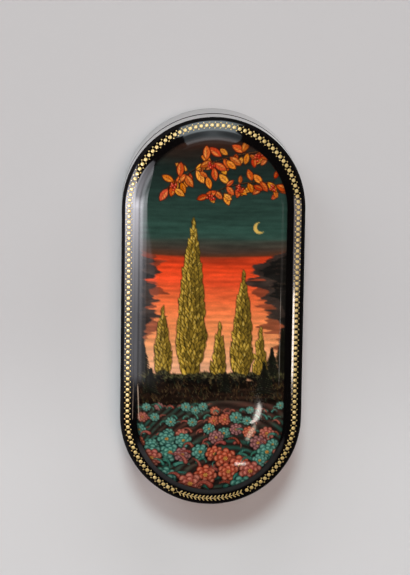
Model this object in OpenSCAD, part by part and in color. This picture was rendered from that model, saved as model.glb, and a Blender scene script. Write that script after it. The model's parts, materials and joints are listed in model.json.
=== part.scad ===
// Long lacquered box with half-round ends, a crowned lid and a hinge let into its left side.
// The box stands on Z = 0. X runs across it, Y along it, and the hinge lies at -X.

/* [Box] */
// Length over the two round ends
box_l = 162; // [130:1:220]
// Width; each end is a half circle of this width
box_w = 75; // [64:1:100]
// Height of the body, from the table to the seam
body_h = 20; // [16:0.5:40]
// Height of the lid's rim, from the seam to the foot of the crown
lid_side_h = 14.5; // [13:0.5:30]
// Open line between lid and body when the box is shut
seam_gap = 0.25; // [0.15:0.05:0.5]

/* [Shells] */
// Thickness of the body wall
wall_t = 3.4; // [3.2:0.1:5]
// Thickness of the bottom board
bottom_t = 3; // [2.2:0.1:5]
// Thickness of the lid board
board_t = 3.2; // [2.6:0.1:4]
// Thickness of the inner collar
collar_t = 1.6; // [1:0.1:3]
// Height of the collar above the seam
collar_rise = 4.5; // [2.5:0.5:5]
// Free space between the collar and the lid wall
lid_play = 0.3; // [0.25:0.05:0.6]
// Glue line between the collar and the body wall
glue_gap = 0.1; // [0.05:0.05:0.2]

/* [Edges] */
// Radius of the lid's upper outer edge
rim_edge_r = 2.2; // [1:0.1:2.4]
// Height of the straight band that the lid board shows below its rounded edge
edge_band = 0.4; // [0.2:0.1:1]
// Radius of the lower edge of the bottom board
foot_edge_r = 1.6; // [0.8:0.1:2]
// Radius of the outer edges along the seam
seam_edge_r = 0.6; // [0.3:0.1:1]
// Radius of the collar's upper edges
collar_edge_r = 0.4; // [0.2:0.1:0.45]

/* [Crown] */
// Width of the rim, from the outline to the foot of the crown
crown_inset = 4.5; // [4.2:0.1:8]
// Slope of the rim beside its rounded edge, in degrees
rim_outer_slope = 16; // [12:1:24]
// Slope of the rim at the foot of the crown, in degrees
rim_inner_slope = 9; // [2:1:10]
// Radius of the hollow curve at the foot of the crown
cove_r = 2.2; // [1:0.1:4]
// Slope of the crown's flank, in degrees
flank_angle = 40; // [30:1:60]
// Length of the straight part of the flank
flank_l = 1.2; // [0.5:0.1:4]
// Radius of the crown's shoulder
shoulder_r = 7; // [4.5:0.1:9]
// Slope at which the dome leaves the shoulder, in degrees
dome_angle = 6; // [4:1:14]

/* [Hinge] */
// Length of the hinge barrel
hinge_l = 48; // [30:1:60]
// Number of knuckles, shared by the two leaves
knuckles = 5; // [3:2:9]
// Radius of the barrel
barrel_r = 1.3; // [1.1:0.05:1.4]
// Radius of the hinge pin
pin_r = 0.6; // [0.4:0.05:0.7]
// Thickness of each leaf
leaf_t = 0.5; // [0.3:0.05:0.55]
// Height of each leaf, from the pin's axis
leaf_h = 8; // [7:0.5:9]
// Angle to which the lid opens, in degrees
opening_angle = 95; // [80:1:100]

/* [Nails] */
// Nails in each leaf
nail_count = 3; // [2:1:4]
// Radius of a nail's shank
nail_r = 0.35; // [0.25:0.05:0.45]
// Radius of a nail's head
nail_head_r = 0.8; // [0.6:0.05:1]
// Thickness of a nail's head
nail_head_t = 0.35; // [0.2:0.05:0.4]
// Length of a nail with its head
nail_l = 2.4; // [2:0.1:2.6]
// Distance from the pin's axis to a nail
nail_drop = 5; // [4:0.5:5.5]

/* [Fits] */
// Radial play of the pin in the knuckles
pin_play = 0.04; // [0.02:0.01:0.08]
// Gap between neighbouring knuckles
knuckle_gap = 0.15; // [0.1:0.05:0.3]
// Play of the barrel in its notch
barrel_play = 0.15; // [0.1:0.05:0.25]
// Play of a leaf in its slot
leaf_play = 0.05; // [0.02:0.01:0.1]
// Play of a nail in its hole
nail_play = 0.02; // [0.01:0.01:0.05]
// How far a cutting shape runs past what it cuts
overrun = 1; // [0.5:0.5:3]

/* [Hidden] */
$fn = 64;
ARC_STEPS = 8;
DOME_STEPS = 16;
// Spare opening of the seam's relief past the lid's stop, in degrees
RELIEF_SPARE = 2;

outer_r = box_w / 2;
straight_l = box_l - box_w;
lid_z = body_h + seam_gap;
rim_z = lid_z + lid_side_h;
lid_wall_t = wall_t + glue_gap - lid_play;
collar_inset = wall_t + glue_gap;

axis_x = barrel_r - outer_r;
axis_z = body_h + seam_gap / 2;
leaf_x = axis_x + barrel_r - leaf_t;
pin_hole_r = pin_r + pin_play;
notch_r = barrel_r + barrel_play;
knuckle_pitch = hinge_l / knuckles;
relief_angle = (opening_angle + RELIEF_SPARE) / 2;

// Points away from a surface that rises inwards at this slope
function up_from(slope) = [-sin(slope), cos(slope)];

// Places on the lid's section, as distance in from the outline and height
crown_foot = [crown_inset, rim_z];
rim_r = (crown_inset - rim_edge_r * (1 - sin(rim_outer_slope))) / (sin(rim_outer_slope) - sin(rim_inner_slope));
rim_centre = crown_foot - rim_r * up_from(rim_inner_slope);
edge_centre = rim_centre + (rim_r - rim_edge_r) * up_from(rim_outer_slope);
cove_centre = crown_foot + cove_r * up_from(rim_inner_slope);
flank_end = cove_centre - cove_r * up_from(flank_angle) + flank_l * [cos(flank_angle), sin(flank_angle)];
shoulder_centre = flank_end - shoulder_r * up_from(flank_angle);
dome_start = shoulder_centre + shoulder_r * up_from(dome_angle);
dome_r = (outer_r - dome_start.x) / sin(dome_angle);
dome_centre = [outer_r, dome_start.y - dome_r * cos(dome_angle)];
board_z = edge_centre.y - edge_band;

// Points along an arc, both ends included
function arc(centre, r, from, to, steps = ARC_STEPS) = [
    for (i = [0:steps]) let (a = from + (to - from) * i / steps)
        centre + r * [cos(a), sin(a)]
];

// Turns points given as distance in from the outline into distance out from the middle
function from_middle(points) = [for (p = points) [outer_r - p.x, p.y]];

// The crown's surface from a slope at its foot to its middle, sunk by a thickness below its outer face
function crown_line(foot_slope, sink) = concat(
    arc(cove_centre, cove_r + sink, foot_slope - 90, flank_angle - 90),
    arc(shoulder_centre, shoulder_r - sink, 90 + flank_angle, 90 + dome_angle),
    arc(dome_centre, dome_r - sink, 90 + dome_angle, 90, DOME_STEPS)
);

function reversed(list) = [for (i = [len(list) - 1:-1:0]) list[i]];

// Carries a section, drawn with its distance out from the middle along X, once round the box
module round_the_box() {
    for (turn = [0, 180]) rotate(turn) {
        translate([0, straight_l / 2, 0])
            rotate_extrude(angle = 180) children();
        translate([0, straight_l / 2, 0])
            rotate([90, 0, 0]) linear_extrude(straight_l) children();
    }
}

// A rod along Y, centred on the hinge's axis
module on_hinge_axis(r, l, y = 0) {
    translate([axis_x, y, axis_z])
        rotate([90, 0, 0]) cylinder(r = r, h = l, center = true);
}

// The wedge cut from both seam edges on the hinge side, so that the lid can swing back
module seam_relief() {
    reach = barrel_r + overrun;
    rise = reach * tan(relief_angle);
    translate([axis_x, box_l / 2, axis_z])
        rotate([90, 0, 0]) linear_extrude(box_l)
            polygon([[0, 0], [-reach, rise], [-reach, -rise]]);
}

// The room that a leaf needs in a wall; side is 1 for the lid and -1 for the body
module leaf_slot(side) {
    depth = leaf_h + leaf_play;
    translate([leaf_x - leaf_play, -hinge_l / 2 - leaf_play, side > 0 ? axis_z : axis_z - depth])
        cube([leaf_t + 2 * leaf_play, hinge_l + 2 * leaf_play, depth]);
}

// Each nail's place along the hinge
module at_nails() {
    for (i = [0:nail_count - 1])
        translate([0, hinge_l * ((i + 0.5) / nail_count - 0.5), 0]) children();
}

// Nails that run outwards from a wall's inner face, with play all round them
module nails(side, inner_x, play) {
    at_nails() translate([inner_x, 0, axis_z + side * nail_drop]) rotate([0, -90, 0]) {
        cylinder(r = nail_r + play, h = nail_l + play);
        cylinder(r = nail_head_r + play, h = nail_head_t);
    }
}

// The hinge's cuts in one wall
module hinge_cuts(side, inner_x) {
    seam_relief();
    on_hinge_axis(notch_r, hinge_l + 2 * barrel_play);
    leaf_slot(side);
    nails(side, inner_x, nail_play);
}

// One leaf: a plate in its wall and every other knuckle round the pin
module leaf(side, first) {
    difference() {
        union() {
            translate([leaf_x, -hinge_l / 2, side > 0 ? axis_z : axis_z - leaf_h])
                cube([leaf_t, hinge_l, leaf_h]);
            for (i = [first:2:knuckles - 1]) on_hinge_axis(barrel_r, knuckle_pitch - knuckle_gap, knuckle_y(i));
        }
        for (i = [1 - first:2:knuckles - 1]) on_hinge_axis(notch_r, knuckle_pitch + knuckle_gap, knuckle_y(i));
        on_hinge_axis(pin_hole_r, hinge_l + overrun);
        at_nails() translate([leaf_x, 0, axis_z + side * nail_drop])
            rotate([0, 90, 0]) cylinder(r = nail_r + nail_play, h = 2 * leaf_t + overrun, center = true);
    }
}

function knuckle_y(i) = knuckle_pitch * (i + 0.5) - hinge_l / 2;

module bottom_board() {
    color("#14110f") round_the_box() polygon(from_middle(concat(
        [[outer_r, 0]],
        arc([foot_edge_r, foot_edge_r], foot_edge_r, 270, 180),
        [[0, bottom_t], [outer_r, bottom_t]]
    )));
}

module body_wall() {
    color("#0c0b0d") difference() {
        round_the_box() polygon(from_middle(concat(
            [[wall_t, bottom_t], [0, bottom_t]],
            arc([seam_edge_r, body_h - seam_edge_r], seam_edge_r, 180, 90),
            [[wall_t, body_h]]
        )));
        hinge_cuts(-1, wall_t - outer_r);
    }
}

module inner_collar() {
    top_z = body_h + collar_rise;
    inner = collar_inset + collar_t;
    color("#a3211a") round_the_box() polygon(from_middle(concat(
        [[inner, bottom_t], [collar_inset, bottom_t]],
        arc([collar_inset + collar_edge_r, top_z - collar_edge_r], collar_edge_r, 180, 90),
        arc([inner - collar_edge_r, top_z - collar_edge_r], collar_edge_r, 90, 0)
    )));
}

module lid_wall() {
    color("#0c0b0d") difference() {
        round_the_box() polygon(from_middle(concat(
            [[0, board_z], [lid_wall_t, board_z], [lid_wall_t, lid_z]],
            arc([seam_edge_r, lid_z + seam_edge_r], seam_edge_r, 270, 180)
        )));
        hinge_cuts(1, lid_wall_t - outer_r);
    }
}

module lid_board() {
    color("#0c0b0d") round_the_box() polygon(from_middle(concat(
        [[lid_wall_t, board_z], [0, board_z]],
        arc(edge_centre, rim_edge_r, 180, 90 + rim_outer_slope),
        arc(rim_centre, rim_r, 90 + rim_outer_slope, 90 + rim_inner_slope),
        crown_line(rim_inner_slope, 0),
        reversed(crown_line(0, board_t))
    )));
}

module hinge_body_leaf() {
    color("#b9934a") leaf(-1, 0);
}

module hinge_lid_leaf() {
    color("#b9934a") leaf(1, 1);
}

module hinge_pin() {
    color("#8f8f8a") on_hinge_axis(pin_r, hinge_l);
}

module body_leaf_nails() {
    color("#a8843f") nails(-1, wall_t - outer_r, 0);
}

module lid_leaf_nails() {
    color("#a8843f") nails(1, lid_wall_t - outer_r, 0);
}

bottom_board();
body_wall();
inner_collar();
lid_wall();
lid_board();
hinge_body_leaf();
hinge_lid_leaf();
hinge_pin();
body_leaf_nails();
lid_leaf_nails();
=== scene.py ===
import json
import math

import bmesh
import bpy
import numpy as np
from bpy.props import FloatProperty, FloatVectorProperty, IntProperty, PointerProperty
from mathutils import Matrix, Vector


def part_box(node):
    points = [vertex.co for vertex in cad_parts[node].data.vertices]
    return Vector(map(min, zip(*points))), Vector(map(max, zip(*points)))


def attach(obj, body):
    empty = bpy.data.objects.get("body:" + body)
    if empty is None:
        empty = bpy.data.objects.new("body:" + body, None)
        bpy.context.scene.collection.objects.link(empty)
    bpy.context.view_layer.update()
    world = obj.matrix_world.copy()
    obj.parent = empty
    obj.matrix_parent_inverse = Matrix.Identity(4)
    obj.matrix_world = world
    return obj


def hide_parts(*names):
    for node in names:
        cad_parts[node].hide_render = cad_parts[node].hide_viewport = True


bl_info = {
    "name": "Long lacquered box",
    "version": (1, 0, 0),
    "blender": (4, 5, 0),
    "location": "View3D > Sidebar > Lacquered box",
    "description": "Dresses a long hinged box in black lacquer, a painted panel and a gold chain line",
    "category": "Object",
}

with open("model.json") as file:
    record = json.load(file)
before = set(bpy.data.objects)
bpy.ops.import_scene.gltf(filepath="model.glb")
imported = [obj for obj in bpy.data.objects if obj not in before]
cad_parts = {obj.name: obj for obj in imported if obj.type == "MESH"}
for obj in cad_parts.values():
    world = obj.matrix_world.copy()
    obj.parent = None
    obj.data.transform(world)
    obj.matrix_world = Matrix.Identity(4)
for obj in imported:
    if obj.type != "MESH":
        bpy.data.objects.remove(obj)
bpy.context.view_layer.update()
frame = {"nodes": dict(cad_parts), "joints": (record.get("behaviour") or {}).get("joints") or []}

MM = 0.001
QUARTER = math.pi / 2

# Places that the solids give
LID_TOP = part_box("lid_board")[1]
OUTER_R = LID_TOP.x
HALF_STRAIGHT = LID_TOP.y - OUTER_R
BOARD_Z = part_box("lid_wall")[1].z
LID_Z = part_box("lid_wall")[0].z
SEAM_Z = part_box("body_wall")[1].z
FLOOR_TOP_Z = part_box("bottom_board")[1].z
COLLAR_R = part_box("inner_collar")[1].x
COLLAR_TOP_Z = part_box("inner_collar")[1].z
HINGE_HALF_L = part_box("hinge_pin")[1].y
AXIS_X = frame["joints"][0]["pos_m"][0]
AXIS_Z = frame["joints"][0]["pos_m"][2]
OPENING = math.radians(frame["joints"][0]["range_deg"][1])


def srgb(code):
    """A colour written as #rrggbb, as sRGB values from 0 to 1."""
    return np.array([int(code[i:i + 2], 16) / 255 for i in (1, 3, 5)])


def to_linear(values):
    """Linear values of sRGB ones."""
    return np.where(values <= 0.04045, values / 12.92, ((values + 0.055) / 1.055) ** 2.4)


def linear(code):
    """A colour written as #rrggbb, as linear values."""
    return to_linear(srgb(code)).tolist()


def length(name, description, default_mm):
    """A size for the user, with its default in millimetres."""
    return FloatProperty(name=name, description=description, default=default_mm * MM, min=0, unit="LENGTH",
                         subtype="DISTANCE", precision=5)


def angle(name, description, default_degrees):
    """An angle for the user, with its default in degrees."""
    return FloatProperty(name=name, description=description, default=math.radians(default_degrees),
                         subtype="ANGLE")


def colour(name, description, code):
    """A colour for the user, with its default as #rrggbb."""
    return FloatVectorProperty(name=name, description=description, default=linear(code), size=3, min=0, max=1,
                               subtype="COLOR")


def position(name, description, default):
    """A place for the user, in metres."""
    return FloatVectorProperty(name=name, description=description, default=default, size=3, unit="LENGTH")


def power(name, description, default):
    """A light's strength for the user."""
    return FloatProperty(name=name, description=description, default=default, min=0)


class LidSizes(bpy.types.PropertyGroup):
    """The lid board's section, from its outline to its middle."""

    rim_w: length("Rim width", "From the outline to the foot of the crown", 4.5)
    edge_r: length("Edge radius", "Rounding of the lid's upper outer edge", 2.2)
    rim_outer_slope: angle("Outer rim slope", "Slope of the rim beside its rounded edge", 16)
    rim_inner_slope: angle("Inner rim slope", "Slope of the rim at the foot of the crown", 9)
    cove_r: length("Cove radius", "Hollow curve at the foot of the crown", 2.2)
    flank_angle: angle("Flank angle", "Slope of the crown's flank", 40)
    flank_l: length("Flank length", "Straight part of the flank", 1.2)
    shoulder_r: length("Shoulder radius", "Rounding from the flank to the dome", 7)
    dome_angle: angle("Dome angle", "Slope at which the dome leaves the shoulder", 6)
    board_t: length("Board thickness", "Thickness of the lid board", 3.2)
    dull_w: length("Dull edge", "Mean width of the dull band along the lid's edge", 1.2)
    dull_shift: length("Dull edge shift", "How much wider the dull band is towards the hinge", 0.3)


class WallSizes(bpy.types.PropertyGroup):
    """The walls, the collar and the bottom board."""

    wall_t: length("Body wall", "Thickness of the body wall", 3.4)
    lid_wall_t: length("Lid wall", "Thickness of the lid wall", 3.2)
    collar_t: length("Collar", "Thickness of the inner collar", 1.6)
    seam_edge_r: length("Seam edge", "Rounding of the outer edges along the seam", 1.0)
    collar_edge_r: length("Collar edge", "Rounding of the collar's upper edges", 0.4)
    foot_edge_r: length("Foot edge", "Rounding of the lower edge", 1.6)
    barrel_r: length("Barrel radius", "Radius of the hinge barrel", 1.3)
    barrel_play: length("Barrel play", "Room round the barrel in its notch", 0.15)
    lacquer_sink: length("Lacquer sink", "How far the lid wall's inner face lies below the nail heads", 0.02)


class ChainSizes(bpy.types.PropertyGroup):
    """The gold chain line on the lid's rim."""

    inset: length("Inset", "From the outline to the middle of the chain", 3.0)
    pitch: length("Pitch", "From bead to bead", 2.25)
    bead_r: length("Bead radius", "Half the width of a bead", 0.78)
    grain_r: length("Grain radius", "Half the width of a small grain", 0.25)
    grain_offset: length("Grain offset", "From the middle of the chain to a grain", 1.12)
    thread_w: length("Thread width", "Width of the threads that cross between the beads", 0.08)
    lift: length("Lift", "How far the gold stands above the lacquer", 0.02)
    gap_angle: angle("Gap", "Half the angle left open at the lower end for the sprig", 26.5)


class SprigSizes(bpy.types.PropertyGroup):
    """The gold sprig in the chain's gap."""

    inset: length("Inset", "From the outline to the sprig's stem", 3.0)
    reach: angle("Reach", "Angle from the middle of the gap to the sprig's end", 21.5)
    pitch: length("Pitch", "From one pair of leaves to the next", 1.55)
    leaf_l: length("Leaf length", "Length of a leaf", 1.6)
    leaf_w: length("Leaf width", "Width of a leaf", 0.55)
    stem_w: length("Stem width", "Width of the stem", 0.16)
    lift: length("Lift", "How far the gold stands above the lacquer", 0.02)


class PanelSizes(bpy.types.PropertyGroup):
    """The painted panel on the crown."""

    inset: length("Inset", "From the outline to the edge of the painting", 7.3)
    shift: length("Shift", "How far the painting lies towards the hinge", 0.35)
    rings: IntProperty(name="Rings", description="Rings of faces across the panel", default=86, min=20)
    stations: IntProperty(name="Stations", description="Faces round the panel", default=960, min=120)
    lift: length("Lift", "Thickness of the paint above the lacquer", 0.015)
    sunk: length("Sunk", "How far the paint's underside lies in the lacquer", 0.08)
    seed: IntProperty(name="Seed", description="Seed of the brushwork", default=11)


class BoxColours(bpy.types.PropertyGroup):
    """Colours of the finishes."""

    black: colour("Black lacquer", "Outside of the box", "#060507")
    red: colour("Red lacquer", "Inside of the box", "#a5221a")
    gold: colour("Gold", "Gold paint of the chain and the sprig", "#c9a250")
    brass: colour("Brass", "Hinge leaves and nails", "#b9924a")
    steel: colour("Steel", "Hinge pin", "#9a9894")
    # The two floor colours are painted light: the floor is a little lighter before the box, standing in for
    # brighter light there
    far_ground: colour("Far floor", "Floor beyond the upper end of the box", "#cdcccd")
    near_ground: colour("Near floor", "Floor before the lower end of the box", "#dadadb")


class StageSettings(bpy.types.PropertyGroup):
    """Camera and light."""

    camera_at: position("Camera", "Where the camera stands", (-0.035, 0.208, 1.1126))
    camera_aim: position("Aim", "What the camera looks at", (-0.00312, 0.01068, 0.0325))
    camera_roll: angle("Roll", "Turn of the camera about its line of sight", -0.81)
    camera_lens: FloatProperty(name="Lens", description="Focal length in millimetres", default=167.6)
    key: power("Key", "Strength of the light from beyond the upper end", 1.42)
    side: power("Side", "Strength of the light to the left of it", 0.3)
    low: power("Low", "Strength of the low light round the upper end", 0.58)
    overhead: power("Overhead", "Strength of the warm light from above", 1.12)
    fill: power("Fill", "Strength of the light from all round", 0.05)


# Sections, as distance in from the outline and height


def up_from(slope):
    """The direction away from a surface that rises inwards at this slope."""
    return np.array([-math.sin(slope), math.cos(slope)])


def arc(centre, radius, start, end, steps):
    """Points along an arc in a section, both ends included."""
    angles = np.linspace(start, end, steps + 1)
    return np.asarray(centre) + radius * np.stack([np.cos(angles), np.sin(angles)], axis=1)


def upright(inset, start, end, points):
    """Points up a wall's face."""
    return [[inset, z] for z in np.linspace(start, end, points)]


class LidSection:
    """The lid board's upper surface: rounded edge, sloping rim, cove, flank, shoulder and dome."""

    def __init__(self, sizes):
        outer, inner = sizes.rim_outer_slope, sizes.rim_inner_slope
        flank, dome = sizes.flank_angle, sizes.dome_angle
        foot = np.array([sizes.rim_w, 0.0])
        rim_r = (sizes.rim_w - sizes.edge_r * (1 - math.sin(outer))) / (math.sin(outer) - math.sin(inner))
        rim_centre = foot - rim_r * up_from(inner)
        edge_centre = rim_centre + (rim_r - sizes.edge_r) * up_from(outer)
        cove_centre = foot + sizes.cove_r * up_from(inner)
        flank_start = cove_centre - sizes.cove_r * up_from(flank)
        flank_end = flank_start + sizes.flank_l * np.array([math.cos(flank), math.sin(flank)])
        shoulder_centre = flank_end - sizes.shoulder_r * up_from(flank)
        dome_start = shoulder_centre + sizes.shoulder_r * up_from(dome)
        dome_r = (OUTER_R - dome_start[0]) / math.sin(dome)
        dome_centre = np.array([OUTER_R, dome_start[1] - dome_r * math.cos(dome)])
        flank_turn, dome_turn = QUARTER + flank, QUARTER + dome
        self.edge = arc(edge_centre, sizes.edge_r, math.pi, QUARTER + outer, 16)
        self.rim = arc(rim_centre, rim_r, QUARTER + outer, QUARTER + inner, 12)
        self.crown = np.concatenate([
            arc(cove_centre, sizes.cove_r, inner - QUARTER, flank - QUARTER, 10),
            arc(shoulder_centre, sizes.shoulder_r, flank_turn, dome_turn, 20),
            arc(dome_centre, dome_r, dome_turn, QUARTER, 60)[1:],
        ])
        self.under = np.concatenate([
            arc(cove_centre, sizes.cove_r + sizes.board_t, -QUARTER, flank - QUARTER, 10),
            arc(shoulder_centre, sizes.shoulder_r - sizes.board_t, flank_turn, dome_turn, 8),
            arc(dome_centre, dome_r - sizes.board_t, dome_turn, QUARTER, 20)[1:],
        ])
        rise = LID_TOP.z - self.crown[-1][1]
        for line in (self.edge, self.rim, self.crown, self.under):
            line[:, 1] += rise
        self.top = np.concatenate([self.edge, self.rim[1:], self.crown[1:]])

    def height(self, inset):
        """Height of the upper surface at a distance in from the outline."""
        return np.interp(inset, self.top[:, 0], self.top[:, 1])


# Sweeping a section round the box


def stations(straight_steps, end_steps, breaks=()):
    """Places round the box: the middle line's Y and the outward direction of each.
    Breaks are extra places along the hinge side."""
    ends = np.linspace(-QUARTER, QUARTER, end_steps + 1)
    line = np.linspace(-HALF_STRAIGHT, HALF_STRAIGHT, straight_steps + 1)[1:-1]
    hinge_side = np.sort(np.concatenate([line, breaks]))[::-1]
    y = np.concatenate([line, np.full(end_steps + 1, HALF_STRAIGHT), hinge_side,
                        np.full(end_steps + 1, -HALF_STRAIGHT)])
    turn = np.concatenate([np.zeros(len(line)), ends + QUARTER, np.full(len(hinge_side), math.pi),
                           ends + 3 * QUARTER])
    return y, np.cos(turn), np.sin(turn)


def wall_stations(walls):
    """Places round a wall, with a pair close together at each end of the hinge's notch."""
    edge, nudge = HINGE_HALF_L + walls.barrel_play, 0.01 * MM
    return stations(60, 72, [side * (edge + step) for side in (-1, 1) for step in (-nudge, nudge)])


def swept(section, places):
    """Points of a section at every station: (section, station, xyz)."""
    y, out_x, out_y = places
    section = np.asarray(section)
    out = OUTER_R - section[:, 0][:, None]
    height = np.broadcast_to(section[:, 1][:, None], (len(section), len(y)))
    return np.stack([out * out_x, y + out * out_y, height], axis=2)


def relieved(points, side, walls):
    """Cuts the hinge's relief and the barrel's notch into a wall's seam edge.
    Side is 1 for the lid and -1 for the body."""
    x, y, z = points[..., 0], points[..., 1], points[..., 2]
    spare = math.radians(2)
    cut = np.clip(AXIS_X - x, 0, None) * math.tan((OPENING + spare) / 2)
    notch_r = walls.barrel_r + walls.barrel_play
    across = np.clip(notch_r ** 2 - (x - AXIS_X) ** 2, 0, None)
    beside = np.abs(y) < HINGE_HALF_L + walls.barrel_play
    cut = np.maximum(cut, np.where(beside & (x < 0), np.sqrt(across), 0))
    near = np.abs(z - AXIS_Z) < notch_r + cut
    limit = AXIS_Z + side * cut
    moved = np.minimum(z, limit) if side < 0 else np.maximum(z, limit)
    points[..., 2] = np.where(near & (cut > 0), moved, z)
    return points


def depth_in(point):
    """Distance in from the box's outline."""
    return OUTER_R - math.hypot(point.x, max(0.0, abs(point.y) - HALF_STRAIGHT))


def new_object(name, data):
    """A new object in the scene for a mesh, a lamp or a camera."""
    thing = bpy.data.objects.new(name, data)
    bpy.context.scene.collection.objects.link(thing)
    return thing


def new_piece(name, points, closed_section=False):
    """A closed piece with faces between neighbouring rows of swept points, its doubles merged and its faces
    outwards. A section that isn't closed starts and ends at the box's middle line."""
    rows, columns = points.shape[:2]
    faces = []
    for i in range(rows if closed_section else rows - 1):
        a, b = i * columns, (i + 1) % rows * columns
        faces += [(a + j, a + (j + 1) % columns, b + (j + 1) % columns, b + j) for j in range(columns)]
    mesh = bpy.data.meshes.new(name)
    mesh.from_pydata(points.reshape(-1, 3).tolist(), [], faces)
    work = bmesh.new()
    work.from_mesh(mesh)
    bmesh.ops.remove_doubles(work, verts=work.verts, dist=0.001 * MM)
    bmesh.ops.dissolve_degenerate(work, edges=work.edges, dist=0.0005 * MM)
    bmesh.ops.recalc_face_normals(work, faces=work.faces)
    work.to_mesh(mesh)
    work.free()
    mesh.shade_smooth()
    mesh.set_sharp_from_angle(angle=math.radians(35))
    return new_object(name, mesh)


def dress(piece, body, slot, materials, *nodes):
    """Gives a piece its materials, makes it move with a body and hides the solids that it takes the place of.
    """
    for material in materials:
        piece.data.materials.append(material)
    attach(piece, body)
    if nodes:
        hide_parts(*nodes)


# Materials

# Distances in from the lid's outline, to the flank's middle, where the painting ends, and to the shoulder
FLANK_IN = 7.3 * MM
SHOULDER_IN = 9.8 * MM


def add(tree, kind, sockets=None, **settings):
    """Adds a node. Settings are its own options. A socket takes a value, another node's output, a node, which
    stands for its first output in use, or a list of nodes."""
    node = tree.nodes.new(kind)
    for name, value in settings.items():
        setattr(node, name, value)
    for socket, given in (sockets or {}).items():
        for value in given if isinstance(given, list) else [given]:
            if isinstance(value, bpy.types.Node):
                value = next(output for output in value.outputs if output.enabled)
            if isinstance(value, bpy.types.NodeSocket):
                tree.links.new(value, node.inputs[socket])
            else:
                node.inputs[socket].default_value = value
    return node


def new_material(name):
    """A material with no nodes yet."""
    material = bpy.data.materials.new(name)
    material.use_nodes = True
    material.node_tree.nodes.clear()
    return material


def surface(material, sockets):
    """Ends a material in a shader with these sockets."""
    shader = add(material.node_tree, "ShaderNodeBsdfPrincipled", sockets)
    add(material.node_tree, "ShaderNodeOutputMaterial", {"Surface": shader})
    return material


def per_mm(size_mm):
    """A texture scale whose marks are about this many millimetres wide."""
    return 1 / (size_mm * MM)


def clouds(tree, size_mm, detail, roughness=0.5, stretch=(1, 1, 1)):
    """A random pattern on a piece, from 0 to 1, whose marks are about this size."""
    place = add(tree, "ShaderNodeTexCoord").outputs["Object"]
    drawn = add(tree, "ShaderNodeMapping", {"Vector": place, "Scale": stretch})
    return add(tree, "ShaderNodeTexNoise", {"Vector": drawn, "Scale": per_mm(size_mm), "Detail": detail,
                                            "Roughness": roughness})


def mottled(tree, base, mottle, size_mm, detail):
    """A colour that drifts between two, in marks of about this size."""
    share = clouds(tree, size_mm, detail)
    return add(tree, "ShaderNodeMix", {"Factor": share, "A": (*base, 1), "B": (*mottle, 1)}, data_type="RGBA")


def lacquer_flow(tree):
    """The long soft waves that a hand-rubbed lacquer keeps, 14 mm from crest to crest, as a normal."""
    waves = clouds(tree, 14, 1, roughness=0.4)
    return add(tree, "ShaderNodeBump", {"Height": waves, "Strength": 1, "Distance": 0.03 * MM})


def axes(tree):
    """The X, Y and Z of a point on a piece."""
    return add(tree, "ShaderNodeSeparateXYZ", {0: add(tree, "ShaderNodeTexCoord").outputs["Object"]}).outputs


def reach_from_axis(tree):
    """Distance from the line that the lid's round ends are drawn about. A metre taken off Z leaves it out."""
    reach = add(tree, "ShaderNodeTexCoord").outputs["Object"]
    none = (0, 0, 0)
    for operation, other in (("ABSOLUTE", none), ("SUBTRACT", (0, HALF_STRAIGHT, 1)), ("MAXIMUM", none),
                             ("LENGTH", none)):
        reach = add(tree, "ShaderNodeVectorMath", {0: reach, 1: other}, operation=operation)
    return reach


def band(tree, value, middle, inner, outer, within, beyond):
    """A level that holds up to an inner distance from a middle value, and another past an outer distance."""
    apart = add(tree, "ShaderNodeMath", {0: value, 1: middle}, operation="SUBTRACT")
    apart = add(tree, "ShaderNodeMath", {0: apart}, operation="ABSOLUTE")
    return add(tree, "ShaderNodeMapRange", {"Value": apart, "From Min": inner, "From Max": outer,
                                            "To Min": within, "To Max": beyond})


def lacquered(material, base, mottle, roughness, coat=0, dull=0):
    """Gloss lacquer, rubbed and polished: a deep colour under a clear skin with a haze of fine scratches.
    A coat is one more layer of clear lacquer above it. Dull is the least roughness, where that is worn."""
    tree = material.node_tree
    # Real polishing scratches are far below a tenth of a millimetre, so the haze is drawn at 0.7 mm
    haze = add(tree, "ShaderNodeMapRange", {"Value": clouds(tree, 0.7, 3), "From Min": 0.3, "From Max": 0.7,
                                            "To Min": roughness * 0.6, "To Max": roughness * 1.5})
    return surface(material, {
        "Base Color": mottled(tree, base, mottle, 9, 4),
        "Roughness": add(tree, "ShaderNodeMath", {0: haze, 1: dull}, operation="MAXIMUM"),
        "Normal": lacquer_flow(tree), "IOR": 1.55, "Coat Weight": coat, "Coat Roughness": 0.05,
    })


def black_lacquer(colours):
    """Black lacquer on wood: nearly black, with a warm cast where it is thin."""
    return lacquered(new_material("black_gloss_lacquer"), colours.black, linear("#120d0b"), 0.06)


def red_lacquer(colours):
    """Red lacquer inside the box, brushed on and less rubbed than the black."""
    return lacquered(new_material("red_gloss_lacquer"), colours.red, linear("#7c150f"), 0.16)


def wall_lacquer(colours):
    """The walls' black lacquer, under one more clear layer that is rubbed away and dull beside the seam."""
    material = new_material("black_lacquer_under_clear_lacquer")
    tree = material.node_tree
    beside_seam = (tree, axes(tree)["Z"], SEAM_Z, 1.2 * MM, 1.8 * MM)
    return lacquered(material, colours.black, linear("#1a110c"), 0.06, coat=band(*beside_seam, 0, 0.8),
                     dull=band(*beside_seam, 0.75, 0))


def lid_lacquer():
    """The lid's black lacquer, deepest of all, polished less on the crown's flank round the lower end."""
    material = new_material("black_lacquer_of_the_lid")
    tree = material.node_tree
    flank = band(tree, reach_from_axis(tree), OUTER_R - FLANK_IN, 2.2 * MM, 2.6 * MM, 1, 0)
    lower = add(tree, "ShaderNodeMapRange", {
        "Value": axes(tree)["Y"], "From Min": -HALF_STRAIGHT - 7 * MM, "From Max": -HALF_STRAIGHT - 15 * MM,
        "To Max": 0.5})
    dull = add(tree, "ShaderNodeMath", {0: flank, 1: lower}, operation="MULTIPLY")
    return lacquered(material, linear("#040305"), linear("#0c0908"), 0.06, dull=dull)


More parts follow.
